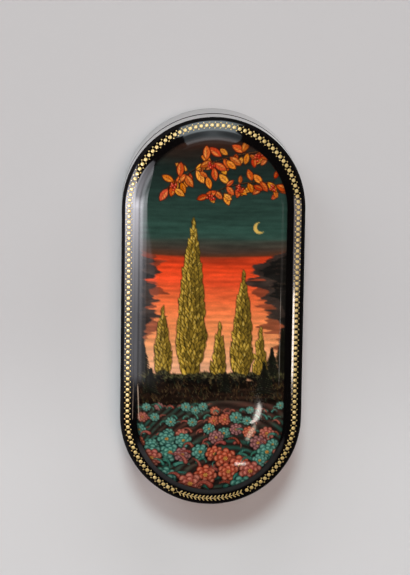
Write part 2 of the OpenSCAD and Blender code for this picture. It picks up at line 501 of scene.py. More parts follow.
def dulled_lacquer(colours):
    """Black lacquer worn dull along the lid's edge, where hands open it: it takes light and mirrors almost
    nothing."""
    material = new_material("black_lacquer_worn_dull")
    tone = mottled(material.node_tree, colours.black, linear("#0d0a09"), 9, 4)
    return surface(material, {"Base Color": tone, "Roughness": 0.8, "Specular IOR Level": 0.06})


def painted_lacquer():
    """Egg tempera under clear lacquer: matt colours with a fine pigment grain and a deep gloss above them."""
    material = new_material("tempera_under_clear_lacquer")
    tree = material.node_tree
    paint = add(tree, "ShaderNodeAttribute", attribute_name=PAINT_LAYER)
    grain = add(tree, "ShaderNodeMapRange", {"Value": clouds(tree, 0.45, 2), "From Min": 0.25,
                                             "From Max": 0.75, "To Min": 0.9, "To Max": 1.1})
    # The clear coat has drawn thin over the shoulder round the painting, most of all at the upper end
    upper = add(tree, "ShaderNodeMapRange", {
        "Value": axes(tree)["Y"], "From Min": HALF_STRAIGHT + 4 * MM, "From Max": HALF_STRAIGHT + 16 * MM,
        "To Min": 0.45, "To Max": 0.06})
    right = add(tree, "ShaderNodeMapRange", {"Value": axes(tree)["X"], "From Min": 20 * MM,
                                             "From Max": 26 * MM, "To Min": 0.45, "To Max": 0.12})
    thin = add(tree, "ShaderNodeMath", {0: upper, 1: right}, operation="MINIMUM")
    return surface(material, {
        "Base Color": add(tree, "ShaderNodeHueSaturation", {"Value": grain, "Color": paint}),
        "Roughness": 0.7, "Specular IOR Level": 0, "Coat Normal": lacquer_flow(tree),
        "Coat Weight": band(tree, reach_from_axis(tree), OUTER_R - SHOULDER_IN, 0.8 * MM, 1.8 * MM, thin, 1),
        "Coat Roughness": 0.04, "Coat IOR": 1.45,
    })


def gold_paint(colours):
    """Shell gold, burnished and lacquered: a bright metal whose leaf lies unevenly."""
    material = new_material("burnished_shell_gold")
    tree = material.node_tree
    leaf = clouds(tree, 1.3, 3)
    return surface(material, {
        "Base Color": mottled(tree, colours.gold, linear("#efd792"), 1.3, 3),
        "Roughness": add(tree, "ShaderNodeMapRange", {"Value": leaf, "To Min": 0.3, "To Max": 0.5}),
        "Metallic": 0.3, "Coat Weight": 1, "Coat Roughness": 0.08,
    })


def worn_metal(name, base, dull):
    """Rolled or drawn metal: fine lines along the hinge, and a dull cast where hands have not rubbed it."""
    material = new_material(name)
    tree = material.node_tree
    lines = clouds(tree, 0.25, 2, stretch=(6, 1, 6))
    return surface(material, {
        "Base Color": mottled(tree, base, dull, 2.5, 3), "Metallic": 1,
        "Roughness": add(tree, "ShaderNodeMapRange", {"Value": lines, "To Min": 0.21, "To Max": 0.42}),
        "Normal": add(tree, "ShaderNodeBump", {"Height": lines, "Strength": 0.4, "Distance": 0.01 * MM}),
    })


# The painting

PAINT_LAYER = "Paint"
DOTS_PER_MM = 6
HALF_W = 31
EVERYWHERE = (slice(None), slice(None))

# Colours of the evening sky, by height above the middle of the panel in millimetres
SKY = [
    (76, "#15110f"), (72, "#2b1c16"), (69, "#33211a"), (65, "#23231f"), (60, "#1e2a26"), (52, "#22332e"),
    (44, "#294038"), (37, "#2f4c42"), (32, "#31483f"), (29.5, "#3c3b33"), (26, "#47382f"), (23.6, "#54301f"),
    (22.6, "#c03a1c"), (20, "#e5451f"), (13, "#e9502a"), (6, "#ec6a3a"), (-3, "#f08a52"), (-12, "#f29e66"),
    (-22, "#efb086"), (-30, "#d99a78"),
]


class Canvas:
    """The painting as a sheet of dots in sRGB values, with every dot's place in millimetres."""

    def __init__(self, half_w, half_l, seed):
        self.step = 1 / DOTS_PER_MM
        self.xs = np.arange(-half_w, half_w + self.step, self.step)
        self.ys = np.arange(-half_l, half_l + self.step, self.step)
        self.x, self.y = np.meshgrid(self.xs, self.ys)
        self.rgb = np.zeros((len(self.ys), len(self.xs), 3))
        self.random = np.random.default_rng(seed)

    def window(self, x0, x1, y0, y1):
        """The part of the sheet round a mark."""
        i0, i1 = np.searchsorted(self.xs, [x0 - self.step, x1 + self.step])
        j0, j1 = np.searchsorted(self.ys, [y0 - self.step, y1 + self.step])
        return slice(j0, j1), slice(i0, i1)

    def lay(self, part, distance, paint, opacity=1.0, soft=1.0):
        """Lays paint, a colour code or sRGB values, where the distance to a mark's edge is negative.
        Soft is the edge's width in dots."""
        cover = np.clip(0.5 - distance / (self.step * soft), 0, 1)[..., None] * opacity
        paint = srgb(paint) if isinstance(paint, str) else paint
        self.rgb[part] = self.rgb[part] * (1 - cover) + paint * cover

    def marks(self, wide, tall):
        """A smooth random field of unit spread, whose marks have this size."""
        noise = np.fft.fft2(self.random.standard_normal(self.x.shape))
        kx = np.fft.fftfreq(len(self.xs), self.step)
        ky = np.fft.fftfreq(len(self.ys), self.step)[:, None]
        blur = np.exp(-2 * math.pi ** 2 * ((kx * wide) ** 2 + (ky * tall) ** 2))
        field = np.real(np.fft.ifft2(noise * blur))
        return field / field.std()

    def stroke(self, path, width, paint, opacity=1.0, ends=(1.0, 1.0), soft=1.0):
        """A brush stroke along a path, whose width runs from one share at its start to another at its end."""
        path = np.asarray(path, float)
        low, high = path.min(0) - width, path.max(0) + width
        part = self.window(low[0], high[0], low[1], high[1])
        x, y = self.x[part], self.y[part]
        if not x.size:
            return
        nearest = np.full(x.shape, np.inf)
        shares = np.linspace(ends[0], ends[1], len(path))
        for (ax, ay), (bx, by), sa, sb in zip(path[:-1], path[1:], shares[:-1], shares[1:]):
            dx, dy = bx - ax, by - ay
            t = np.clip(((x - ax) * dx + (y - ay) * dy) / max(dx * dx + dy * dy, 1e-9), 0, 1)
            half = width / 2 * (sa + (sb - sa) * t)
            nearest = np.minimum(nearest, np.hypot(x - ax - t * dx, y - ay - t * dy) - half)
        self.lay(part, nearest, paint, opacity, soft)

    def dab(self, x, y, long, wide, turn, paint, opacity=1.0, pointed=False, soft=1.0):
        """A dab of the brush: an oval, or a pointed leaf, of half length long and half width wide."""
        reach = max(long, wide)
        part = self.window(x - reach, x + reach, y - reach, y + reach)
        dx, dy = self.x[part] - x, self.y[part] - y
        if not dx.size:
            return
        u = dx * math.cos(turn) + dy * math.sin(turn)
        v = dy * math.cos(turn) - dx * math.sin(turn)
        if pointed:
            distance = np.abs(v) - wide * np.clip(1 - (u / long) ** 2, -1, 1)
        else:
            distance = (np.hypot(u / long, v / wide) - 1) * min(long, wide)
        self.lay(part, distance, paint, opacity, soft)


def toward(turn, height=1):
    """The direction at an angle, made less tall by a share."""
    return np.array([math.cos(turn), height * math.sin(turn)])


def varied(canvas, code, spread=0.05):
    """A paint that differs a little from dab to dab."""
    light = canvas.random.normal(0, spread)
    return np.clip(srgb(code) + light + canvas.random.normal(0, spread / 3, 3), 0, 1)


def curve(points, steps=14):
    """A smooth path through a few points."""
    points = np.asarray(points, float)
    known = np.linspace(0, 1, len(points))
    fit = [np.polyfit(known, points[:, axis], min(3, len(points) - 1)) for axis in (0, 1)]
    t = np.linspace(0, 1, steps)
    return np.stack([np.polyval(fit[0], t), np.polyval(fit[1], t)], axis=1)


def paint_sky(canvas):
    """Evening sky from dark teal down to a red and salmon glow, closed in by dark cloud at both sides."""
    heights, codes = zip(*sorted(SKY))
    paints = np.array([srgb(code) for code in codes])
    y = canvas.y + 0.5 * canvas.marks(9, 0.9) + 0.9 * canvas.marks(16, 3)
    for channel in range(3):
        canvas.rgb[..., channel] = np.interp(y, heights, paints[:, channel])
    canvas.rgb *= (1 + 0.05 * canvas.marks(5, 0.35) + 0.03 * canvas.marks(1.2, 0.3))[..., None]
    tall = np.clip((canvas.y + 22) / 20, 0, 1) * np.clip((27 - canvas.y) / 4, 0, 1)
    for reach, spread, code, opacity in ((6.5, 3.4, "#6b3626", 0.75), (4.6, 2.8, "#2e2b28", 0.9),
                                         (2.2, 1.8, "#171614", 0.9)):
        cloud = reach + spread * canvas.marks(9, 1.1) + 0.5 * spread * canvas.marks(2.5, 0.4)
        cloud = cloud + np.where(canvas.x > 0, 7, 1.5) * np.exp(-((canvas.y - 16) / 7) ** 2)
        side = np.where(tall > 0, 30.5 - cloud * tall, 40) - np.abs(canvas.x)
        paint = srgb(code) * (1 + 0.1 * canvas.marks(1.5, 0.4))[..., None]
        canvas.lay(EVERYWHERE, side, paint, opacity, soft=5)
    for _ in range(90):
        side = 1 if canvas.random.random() < 0.5 else -1
        x, y = side * canvas.random.uniform(23, 30), canvas.random.uniform(-14, 24)
        run = canvas.random.uniform(1.2, 3.2)
        path = curve([(x - run, y), (x, y + canvas.random.normal(0.3, 0.3)), (x + run, y)], 8)
        canvas.stroke(path, 0.25, varied(canvas, "#7d5c48", 0.04), 0.45, (0.3, 0.1))


def paint_moon(canvas, x, y, r):
    """A thin old moon."""
    part = canvas.window(x - r, x + r, y - r, y + r)
    disc = np.hypot(canvas.x[part] - x, canvas.y[part] - y) - r
    bite = np.hypot(canvas.x[part] - x - 0.42 * r, canvas.y[part] - y - 0.2 * r) - 0.86 * r
    canvas.lay(part, np.maximum(disc, -bite), "#d9b45c")


def paint_leaf(canvas, x, y, size, turn, code):
    """An autumn leaf: dark edge, body, a lit half and veins."""
    side = np.array([-math.sin(turn), math.cos(turn)])
    along = toward(turn)
    canvas.dab(x, y, size * 1.15, size * 0.6, turn, "#40160c", 0.9, pointed=True)
    canvas.dab(x, y, size, size * 0.46, turn, varied(canvas, code, 0.05), pointed=True)
    middle = np.array([x, y])
    lit = varied(canvas, "#f0a04a", 0.04)
    canvas.dab(*(middle + side * size * 0.16), size * 0.68, size * 0.15, turn, lit, 0.7, pointed=True, soft=2)
    for start, end, out in ((-0.9, 0.85, 0), (-0.3, 0.1, 0.3), (0.1, 0.45, 0.22), (-0.3, 0.1, -0.3),
                            (0.1, 0.45, -0.22)):
        vein = [middle + along * size * start, middle + (along * end + side * out) * size]
        canvas.stroke(vein, 0.2, "#7a2a10", 0.7)


def paint_branch(canvas, path, leaves, size):
    """A hanging branch with leaves on both sides and bunches of berries."""
    path = curve(path, 24)
    canvas.stroke(path, 0.9, "#120d0a", 1, (1, 0.35))
    canvas.stroke(path + [0.1, 0.15], 0.3, "#8c5a32", 0.8, (1, 0.4))
    for number in range(leaves):
        where = path[int((0.12 + 0.88 * number / leaves) * (len(path) - 1))]
        turn = canvas.random.uniform(-2.8, -0.4) + (math.pi if number % 4 == 3 else 0)
        out = canvas.random.uniform(0.7, 1.8) * size
        tip = where + out * toward(turn)
        canvas.stroke([where, tip], 0.3, "#2a1a12", 0.9)
        code = ("#d4581a", "#e8801f", "#c03c14", "#eea030", "#b8541a")[number % 5]
        paint_leaf(canvas, tip[0], tip[1], size * canvas.random.uniform(0.6, 1.1), turn, code)
    for share in (0.3, 0.62, 0.93):
        where = path[int(share * (len(path) - 1))] - [0, 1.6]
        for _ in range(9):
            x, y = where + canvas.random.normal(0, 0.8, 2)
            canvas.dab(x, y, 0.6, 0.6, 0, "#420e08")
            canvas.dab(x, y, 0.46, 0.46, 0, varied(canvas, "#c9301a", 0.05))
            canvas.dab(x - 0.14, y + 0.16, 0.15, 0.15, 0, "#ffcf9a", 0.9)


def paint_poplar(canvas, foot, top, half_w, lean=0.0):
    """A poplar in autumn gold: flame-shaped tufts from its tip down, outlined in brown, lit from the left."""
    x, y = foot
    tall = top - y
    trunk = curve([(x, y), (x + 0.2 * lean, y + 0.3 * tall), (x + lean, y + 0.92 * tall)], 12)
    canvas.stroke(trunk, 1.7, "#1f180e", 1, (1, 0.2))
    canvas.stroke(trunk, 1.15, "#c9b77c", 1, (1, 0.2))
    canvas.stroke(trunk + [0.28, 0], 0.5, "#7d6a3a", 0.8, (1, 0.2))
    rows = int(tall / 1.25)
    for row in range(rows, 0, -1):
        share = row / rows
        half = half_w * (1 - share) ** 0.62 * min(1, 0.4 + 2.6 * share)
        count = max(1, int(round(2 * half / 1.5)))
        for number in range(count):
            side = (2 * number + 1) / count - 1
            at = np.array([x + lean * share + side * half, y + tall * (0.08 + 0.9 * share) - 1.3 * abs(side)])
            at += canvas.random.normal(0, 0.08 + 0.3 * (1 - share), 2)
            turn = QUARTER - 0.42 * side + canvas.random.normal(0, 0.1)
            size = canvas.random.uniform(2.1, 3.0) * (0.8 + 0.2 * min(1, 3 * (1 - share)))
            lit = np.clip(0.5 - 0.42 * side + canvas.random.normal(0, 0.24), 0, 1)
            along = toward(turn)
            canvas.dab(*at, size * 1.12, size * 0.4, turn, "#2b230f", 0.9, pointed=True)
            paint = srgb("#6f5a1e") * (1 - lit) + srgb("#d2a93a") * lit
            canvas.dab(*at, size, size * 0.29, turn, paint, pointed=True)
            if lit > 0.5:
                shift = np.array([-0.12, 0.05])
                canvas.stroke([at + shift - 0.6 * size * along, at + shift + 0.8 * size * along], 0.34,
                              "#f2dc88", 0.8, (1, 0.2))


def paint_fir(canvas, x, y, tall, wide):
    """A dark fir with drooping boughs, each with a thin lit edge."""
    canvas.stroke([(x, y), (x, y + tall)], 0.9, "#100e0b", 1, (1, 0.2))
    rows = max(6, int(tall / 0.95))
    for row in range(rows):
        share = (row + 0.5) / rows
        reach = (wide * (1 - share) ** 0.85 + 0.3) * canvas.random.uniform(0.82, 1.08)
        height = y + tall * share
        for side in (-1, 1):
            bough = curve([(x, height + 0.7), (x + side * reach * 0.55, height),
                           (x + side * reach, height - 0.7)], 6)
            canvas.stroke(bough, 1.5, varied(canvas, "#15140f", 0.01), 0.98, (0.9, 0.25))
            canvas.stroke(bough + [0, 0.38], 0.22, "#66714c", 0.55, (0.8, 0.1))


def paint_bush(canvas, x, y, r):
    """A round dark bush: twigs that fan out from its heart, their upper tips lit."""
    canvas.dab(x, y, r * 0.9, r * 0.72, 0, "#0e0c0a", soft=3)
    for _ in range(int(30 * r)):
        turn = canvas.random.uniform(-0.5, math.pi + 0.5)
        out = toward(turn, 0.85)
        reach = r * canvas.random.uniform(0.6, 1.15)
        start, end = np.array([x, y]) + 0.45 * reach * out, np.array([x, y]) + reach * out
        high = math.sin(turn) > 0.1 and canvas.random.random() < 0.5
        code = "#5f5a38" if high else "#1c1a13"
        canvas.stroke([start, end], 0.34, varied(canvas, code, 0.03), 0.85, (1, 0.2))


def paint_bank(canvas, top, bottom):
    """The dark bank between the trees and the meadow: bushes along it, blades and stems before them."""
    edge = top - 2.5 + 0.5 * np.sin(canvas.x * 0.33)
    ground = srgb("#1b120d") * (1 + 0.25 * canvas.marks(3.5, 0.35))[..., None]
    canvas.lay(EVERYWHERE, canvas.y - edge, ground, 1, soft=2)
    for number in range(30):
        x = HALF_W * (2 * (number + 0.5) / 30 - 1) + canvas.random.normal(0, 0.5)
        paint_bush(canvas, x, top - 2 + canvas.random.normal(0, 0.6), canvas.random.uniform(1.8, 3.6))
    for _ in range(420):
        x, y = canvas.random.uniform(-HALF_W, HALF_W), canvas.random.uniform(bottom - 1, top - 2.5)
        blade = [(x, y), (x + canvas.random.normal(0, 0.9), y + canvas.random.uniform(0.8, 2.4))]
        code = ("#4a3220", "#5c4a28", "#2f3d2c", "#6e5c3a")[int(canvas.random.integers(0, 4))]
        canvas.stroke(blade, 0.26, varied(canvas, code, 0.03), 0.7, (1, 0.2))


def paint_meadow(canvas, top):
    """Rolling ground below the bank: umber, moss and dull red in curved furrows."""
    edge = top + 1.2 * np.sin(canvas.x * 0.11 + 0.8)
    furrow = 0.5 + 0.5 * np.sin((canvas.y + 0.02 * (canvas.x - 8) ** 2) * 1.9 + 0.9 * canvas.marks(4, 1.2))
    tint = np.clip(0.5 + 0.5 * canvas.marks(7, 3), 0, 1)[..., None]
    high = srgb("#4a3028") * tint + srgb("#2a4d42") * (1 - tint)
    ground = srgb("#241a16") * (1 - furrow[..., None]) + high * furrow[..., None]
    ground = ground * (1 + 0.08 * canvas.marks(2.5, 0.4))[..., None]
    canvas.lay(EVERYWHERE, canvas.y - edge, ground, 1, soft=3)


def paint_flower(canvas, x, y, r, dark, body, light):
    """An open folk flower: two rings of petals, dark at the root and pale at the tip, round an ochre eye."""
    canvas.dab(x, y - 0.12 * r, 1.15 * r, 0.95 * r, 0, "#0f0b09", 0.6, soft=5)
    spin = canvas.random.uniform(0, 6)
    for count, middle, long, wide, tone in ((8, 0.62, 0.42, 0.3, 0.86), (6, 0.33, 0.3, 0.22, 1.05)):
        for number in range(count):
            turn = spin + number * 2 * math.pi / count
            out = toward(turn, 0.86)
            across = np.array([-out[1], out[0]])
            at = np.array([x, y]) + middle * r * out
            high = 1 + 0.16 * (out[1] - 0.6 * out[0])
            canvas.dab(*at, long * r * 1.12, wide * r * 1.16, turn, srgb(dark) * 0.75, 0.9)
            petal = np.clip(varied(canvas, body, 0.02) * tone * high, 0, 1)
            canvas.dab(*at, long * r, wide * r, turn, petal, soft=2)
            root = at - 0.3 * long * r * out
            canvas.dab(*root, long * r * 0.6, wide * r * 0.6, turn, dark, 0.55, soft=5)
            tip = at + 0.62 * long * r * out
            canvas.dab(*tip, 0.08 * r, wide * r * 0.55, turn, light, 0.6, soft=3)
            for lean in (-0.11, 0, 0.11):
                line = [at + lean * r * across - 0.1 * r * out, at + 1.5 * lean * r * across + 0.3 * r * out]
                canvas.stroke(line, 0.17, light, 0.45)
    canvas.dab(x, y, 0.19 * r, 0.16 * r, 0, "#2c150c")
    for number in range(7):
        turn = number * 2 * math.pi / 7
        canvas.dab(x + 0.15 * r * math.cos(turn), y + 0.13 * r * math.sin(turn), 0.05 * r, 0.05 * r, 0,
                   "#e0a850")
    canvas.dab(x, y, 0.08 * r, 0.07 * r, 0, "#c98a3a")


def paint_curled_leaf(canvas, x, y, size, turn, bend, code, light):
    """A long leaf that curls at its tip, with pale lines along its back."""
    t = np.linspace(0, 1, 14)
    heading = turn + bend * t ** 1.3
    steps = np.stack([np.cos(heading), np.sin(heading)], axis=1)
    path = np.array([x, y]) + size * np.cumsum(steps, axis=0) / len(t)
    canvas.stroke(path, 0.3 * size, "#0f0d0b", 0.75, (1.1, 0.15))
    canvas.stroke(path, 0.22 * size, varied(canvas, code, 0.03), 1, (1.1, 0.15), soft=2)
    for shift in (-0.03, 0.05):
        canvas.stroke(path + [0, shift * size], 0.2, light, 0.55, (1, 0.3))


def paint_flowers(canvas, top, bottom):
    """Flowers over the meadow, small far off and large in front, with leaves curling between them."""
    # Dark, middle and light of the teal, coral, rust and plum flowers, then of the green and the red leaves
    flowers = (("#16342f", "#3a7567", "#96c2ae"), ("#4a1c17", "#9c4a3c", "#dc9c86"),
               ("#52180e", "#aa432c", "#e49a78"), ("#3a2024", "#7a4444", "#c99a90"))
    leaves = (("#23564a", "#86bda2"), ("#7c342a", "#dc9a84"))
    rows = 8
    for row in range(rows):
        share = row / (rows - 1)
        y = top + (bottom - top) * share ** 0.95
        r = 2.1 + 3.2 * share
        count = int(2 * HALF_W / (1.95 * r)) + 1
        shift = canvas.random.uniform(-0.5, 0.5)
        for number in range(count):
            x = HALF_W * (2 * (number + 0.5 + shift) / count - 1) + canvas.random.normal(0, 0.7)
            lift = canvas.random.normal(0, 0.8)
            for side in (-1, 1):
                codes = leaves[int(canvas.random.random() < 0.4)]
                size = r * canvas.random.uniform(1.2, 1.9)
                turn = QUARTER - side * canvas.random.uniform(0.2, 1.1)
                bend = -side * canvas.random.uniform(1.0, 3.2)
                paint_curled_leaf(canvas, x + side * 0.5 * r, y + lift - 0.4 * r, size, turn, bend, *codes)
            teals = 0.46 - 0.24 * share
            chances = (teals, 0.56 - teals, 0.06 + 0.1 * share, 0.12, 0.26 - 0.1 * share)
            pick = int(canvas.random.choice(len(chances), p=chances))
            if pick < len(flowers):
                size = r * canvas.random.uniform(0.72, 1.08)
                paint_flower(canvas, x, y + lift, size, *flowers[pick])


def paint_edge(canvas):
    """The painting thins out to the black ground at its very edge."""
    out = np.hypot(canvas.x, np.clip(np.abs(canvas.y) - HALF_STRAIGHT / MM, 0, None))
    inside = (OUTER_R - FLANK_IN) / MM - out
    canvas.rgb *= (1 - 0.5 * np.exp(-np.clip(inside, 0, None) / 0.5))[..., None]


def paint_picture(canvas):
    """An autumn evening: a hanging branch, poplars before the glow, firs, a dark bank, a meadow in flower."""
    paint_sky(canvas)
    paint_moon(canvas, 18.5, 36.5, 2.4)
    for x, y, tall, wide in ((29, -30, 24, 5.0), (24.6, -29, 15, 4.2), (-28.5, -30, 19, 4.6)):
        paint_fir(canvas, x, y, tall, wide)
    for x, top, half_w, lean in ((2.6, -4, 3.4, 0.4), (19.5, -6, 3.2, 0.3), (-20, 3, 4.0, -0.4),
                                 (12, 18, 5.2, 0.5), (-9, 40, 7.0, 0.8)):
        paint_poplar(canvas, (x, -30), top, half_w, lean)
    paint_bank(canvas, -24, -36)
    for x, y, tall, wide in ((21.5, -33, 13, 4.0), (-25, -33, 10, 3.4), (5.5, -32, 8, 2.8)):
        paint_fir(canvas, x, y, tall, wide)
    paint_meadow(canvas, -36.5)
    paint_flowers(canvas, -38.5, -71)
    paint_branch(canvas, [(31, 50), (21, 55), (8, 54), (-4, 49)], 34, 2.6)
    paint_branch(canvas, [(31, 68), (14, 67), (-4, 62), (-20, 52)], 54, 2.7)
    paint_edge(canvas)


def paint_at(canvas, x, y):
    """The painting's colour at places in millimetres, as linear values."""
    i = np.clip((x - canvas.xs[0]) / canvas.step, 0, len(canvas.xs) - 1.001)
    j = np.clip((y - canvas.ys[0]) / canvas.step, 0, len(canvas.ys) - 1.001)
    i0, j0 = i.astype(int), j.astype(int)
    u, v = (i - i0)[:, None], (j - j0)[:, None]
    near, far = canvas.rgb[j0], canvas.rgb[j0 + 1]
    rows = np.arange(len(i0))
    value = (near[rows, i0] * (1 - u) + near[rows, i0 + 1] * u) * (1 - v) + (
        far[rows, i0] * (1 - u) + far[rows, i0 + 1] * u) * v
    return to_linear(value)


# Operators


class BOX_OT_body(bpy.types.Operator):
    """Makes the bottom board, the body wall and the inner collar"""

    bl_idname = "box.make_body"
    bl_label = "Make the body"

    def execute(self, context):
        walls, colours = context.scene.box_walls, context.scene.box_colours
        black, red = black_lacquer(colours), red_lacquer(colours)
        middle = OUTER_R / 2
        foot = np.concatenate([
            [[OUTER_R, 0], [middle, 0]],
            arc([walls.foot_edge_r] * 2, walls.foot_edge_r, 3 * QUARTER, 2 * QUARTER, 8),
            [[inset, FLOOR_TOP_Z] for inset in (0, walls.wall_t, middle, OUTER_R)],
        ])
        board = new_piece("bottom_board_lacquered", swept(foot, stations(60, 72)))
        dress(board, "box", "black_lacquer", [black, red], "bottom_board")
        for face in board.data.polygons:
            face.material_index = int(face.normal.z > 0.9 and face.center.z > FLOOR_TOP_Z / 2)

        places = wall_stations(walls)
        r, lower = walls.seam_edge_r, SEAM_Z - 2 * MM
        section = np.concatenate([
            [[walls.wall_t, FLOOR_TOP_Z], [0, FLOOR_TOP_Z]],
            upright(0, FLOOR_TOP_Z, lower, 4)[1:],
            upright(0, lower, SEAM_Z - r, 8)[1:-1],
            arc([r, SEAM_Z - r], r, 2 * QUARTER, QUARTER, 8),
            [[inset, SEAM_Z] for inset in np.linspace(r, walls.wall_t, 28)[1:]],
        ])
        wall = new_piece("body_wall_lacquered", relieved(swept(section, places), -1, walls), True)
        dress(wall, "box", "black_lacquer", [wall_lacquer(colours)], "body_wall")

        outer, r = OUTER_R - COLLAR_R, walls.collar_edge_r
        inner = outer + walls.collar_t
        section = np.concatenate([
            [[inner, FLOOR_TOP_Z], [outer, FLOOR_TOP_Z]],
            arc([outer + r, COLLAR_TOP_Z - r], r, 2 * QUARTER, QUARTER, 6),
            arc([inner - r, COLLAR_TOP_Z - r], r, QUARTER, 0, 6),
        ])
        dress(new_piece("inner_collar_lacquered", swept(section, places), True), "box", "red_lacquer", [red],
              "inner_collar")
        return {"FINISHED"}


class BOX_OT_lid(bpy.types.Operator):
    """Makes the lid wall and the crowned lid board"""

    bl_idname = "box.make_lid"
    bl_label = "Make the lid"

    def execute(self, context):
        walls, colours, sizes = context.scene.box_walls, context.scene.box_colours, context.scene.box_lid
        black, red = lid_lacquer(), red_lacquer(colours)
        inner, r = walls.lid_wall_t - walls.lacquer_sink, walls.seam_edge_r
        section = np.concatenate([
            [[0, BOARD_Z], [inner, BOARD_Z]],
            [[inset, LID_Z] for inset in np.linspace(inner, r, 28)[:-1]],
            arc([r, LID_Z + r], r, 3 * QUARTER, 2 * QUARTER, 8),
            upright(0, LID_Z + r, LID_Z + 2 * MM, 8)[1:],
        ])
        points = relieved(swept(section, wall_stations(walls)), 1, walls)
        wall = new_piece("lid_wall_lacquered", points, True)
        dress(wall, "lid", "black_lacquer", [wall_lacquer(colours), red], "lid_wall")
        for face in wall.data.polygons:
            face.material_index = int(depth_in(face.center) > inner - 0.1 * MM)

        lid = LidSection(sizes)
        ledge = [[walls.lid_wall_t, BOARD_Z], [0, BOARD_Z]]
        section = np.concatenate([lid.under[::-1], ledge, lid.top])
        board = new_piece("lid_board_lacquered", swept(section, stations(90, 120)))
        dress(board, "lid", "painted_lid", [black, red, dulled_lacquer(colours)], "lid_board")
        for face in board.data.polygons:
            depth, up = depth_in(face.center), face.normal.z
            inside = up < -0.5 and depth > walls.lid_wall_t
            rounded = up > 0.02 and depth < sizes.dull_w - sizes.dull_shift * face.center.x / OUTER_R
            face.material_index = 1 if inside else 2 if rounded else 0
        return {"FINISHED"}


class BOX_OT_painting(bpy.types.Operator):
    """Lays the painted panel on the crown"""

    bl_idname = "box.paint_panel"
    bl_label = "Paint the panel"

    def execute(self, context):
        panel = context.scene.box_panel
        lid = LidSection(context.scene.box_lid)
        ends = int(panel.stations * math.pi * OUTER_R / (math.pi * OUTER_R + 2 * HALF_STRAIGHT) / 2)
        under = np.linspace(OUTER_R, panel.inset, 9)
        insets = np.concatenate([under, np.linspace(panel.inset, OUTER_R, panel.rings + 1)])
        section = np.stack([insets, np.zeros(len(insets))], 1)
        points = swept(section, stations(panel.stations // 2 - ends, ends))
        points[..., 0] -= panel.shift * np.clip((OUTER_R - insets) / (OUTER_R - panel.inset), 0, 1)[:, None]
        out = np.hypot(points[..., 0], np.clip(np.abs(points[..., 1]) - HALF_STRAIGHT, 0, None))
        points[..., 2] = lid.height(OUTER_R - out)
        points[:len(under), :, 2] -= panel.sunk
        points[len(under):, :, 2] += panel.lift
        film = new_piece("painted_panel", points)

        canvas = Canvas(HALF_W, 75, panel.seed)
        paint_picture(canvas)
        mesh = film.data
        where = np.zeros(len(mesh.vertices) * 3)
        mesh.vertices.foreach_get("co", where)
        where = where.reshape(-1, 3)
        paint = np.ones((len(where), 4))
        paint[:, :3] = paint_at(canvas, where[:, 0] / MM, where[:, 1] / MM)
        layer = mesh.color_attributes.new(PAINT_LAYER, "FLOAT_COLOR", "POINT")
        layer.data.foreach_set("color", paint.ravel())
        dress(film, "lid", "painted_lid", [painted_lacquer()])
        return {"FINISHED"}


class BOX_OT_chain(bpy.types.Operator):
    """Lays the gold chain line on the rim"""

    bl_idname = "box.lay_chain"
    bl_label = "Lay the gold chain"

    def execute(self, context):
        sizes = context.scene.box_chain
        right = lower_arc(sizes.inset, sizes.gap_angle, QUARTER)
        turn, r = np.linspace(0, math.pi, 90), OUTER_R - sizes.inset
        top = np.stack([r * np.cos(turn), HALF_STRAIGHT + r * np.sin(turn)], 1)
        lay_gold("gold_chain", np.concatenate([right, top, right[::-1] * [-1, 1]]), chain_tree(), sizes,
                 gold_paint(context.scene.box_colours))
        return {"FINISHED"}


class BOX_OT_sprig(bpy.types.Operator):
    """Lays the gold sprig in the gap of the chain"""

    bl_idname = "box.lay_sprig"
    bl_label = "Lay the gold sprig"

    def execute(self, context):
        sizes = context.scene.box_sprig
        lay_gold("gold_sprig", lower_arc(sizes.inset, -sizes.reach, sizes.reach), sprig_tree(), sizes,
                 bpy.data.materials["burnished_shell_gold"])
        return {"FINISHED"}


def lower_arc(inset, start, end):
    """Places along the rim's lower arc, between two angles from its lowest point."""
    turn, r = np.linspace(start, end, 60), OUTER_R - inset
    return np.stack([r * np.sin(turn), -HALF_STRAIGHT - r * np.cos(turn)], 1)


def lay_gold(name, points, tree, sizes, gold):
    """Runs a node tree along a line of points on the lid and keeps the result as a plain piece."""
    mesh = bpy.data.meshes.new(name)
    mesh.from_pydata([(x, y, 0) for x, y in points], [(i, i + 1) for i in range(len(points) - 1)], [])
    path = new_object(name, mesh)
    modifier = path.modifiers.new(name, "NODES")
    modifier.node_group = tree
    given = {"lid": bpy.data.objects["lid_board_lacquered"], "gold": gold}
    for item in tree.interface.items_tree:
        if item.in_out == "INPUT" and item.name != "path":
            modifier[item.identifier] = given.get(item.name) or getattr(sizes, item.name)
    graph = bpy.context.evaluated_depsgraph_get()
    graph.update()
    laid = bpy.data.meshes.new_from_object(path.evaluated_get(graph))
    bpy.data.objects.remove(path)
    bpy.data.meshes.remove(mesh)
    laid.name = name
    dress(new_object(name, laid), "lid", "painted_lid", [])


def new_tree(name, sizes):
    """A geometry node tree that takes a path, these sizes, the lid and the gold, and its inputs."""
    tree = bpy.data.node_groups.new(name, "GeometryNodeTree")
    for label, kind in (("path", "Geometry"), *((size, "Float") for size in sizes), ("lid", "Object"),
                        ("gold", "Material")):
        tree.interface.new_socket(label, in_out="INPUT", socket_type="NodeSocket" + kind)
    tree.interface.new_socket("laid", in_out="OUTPUT", socket_type="NodeSocketGeometry")
    return tree, add(tree, "NodeGroupInput").outputs


def pillow(tree, radius, sockets):
    """A small flat bead of gold: a ball of few faces pressed flat and moved to its place."""
    ball = add(tree, "GeometryNodeMeshUVSphere", {"Segments": 10, "Rings": 4, "Radius": radius})
    return add(tree, "GeometryNodeTransform", {"Geometry": ball, **sockets})


